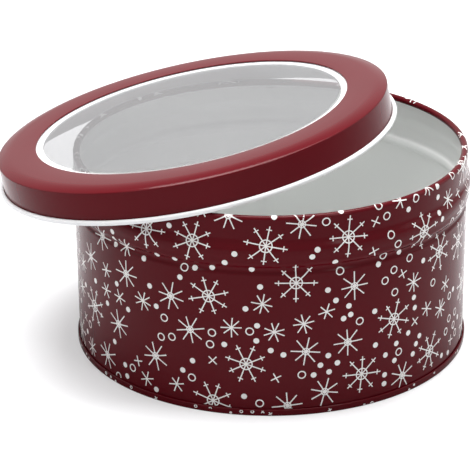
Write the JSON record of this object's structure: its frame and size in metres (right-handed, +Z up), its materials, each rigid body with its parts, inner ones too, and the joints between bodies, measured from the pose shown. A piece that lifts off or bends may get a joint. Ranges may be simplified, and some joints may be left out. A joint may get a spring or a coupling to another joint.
{
  "type": "window lid tin",
  "caption": "Round lithographed tinplate box with a rolled rim and stop bead, and a lift-off lid with a clear round window, leaning on the rim.",
  "frame": {"origin": "centre of the tin's foot, in the plane that it stands on", "axes": "+Z up through the tin's axis; the pictured front faces -Y; the lid's low side points to -X"},
  "size_m": [0.2165, 0.1901, 0.1209],
  "materials": {
    "printed_red": "gloss enamel with a silver print, white lacquer inside",
    "lid_red": "gloss enamel, white lacquer inside",
    "clear_window": "clear plastic sheet, slightly hazy",
    "white_lacquer": "white lacquer"
  },
  "bodies": {
    "tin": {"tin_wall": "printed_red", "tin_base": "printed_red"},
    "lid": {"lid_frame": "lid_red", "window": "clear_window", "window_ring": "white_lacquer"}
  },
  "joints": [
    {"name": "lid_lift", "type": "slide", "parent": "tin", "child": "lid", "axis": [0, 0, 1], "range_m": [0, 0.06]}
  ]
}
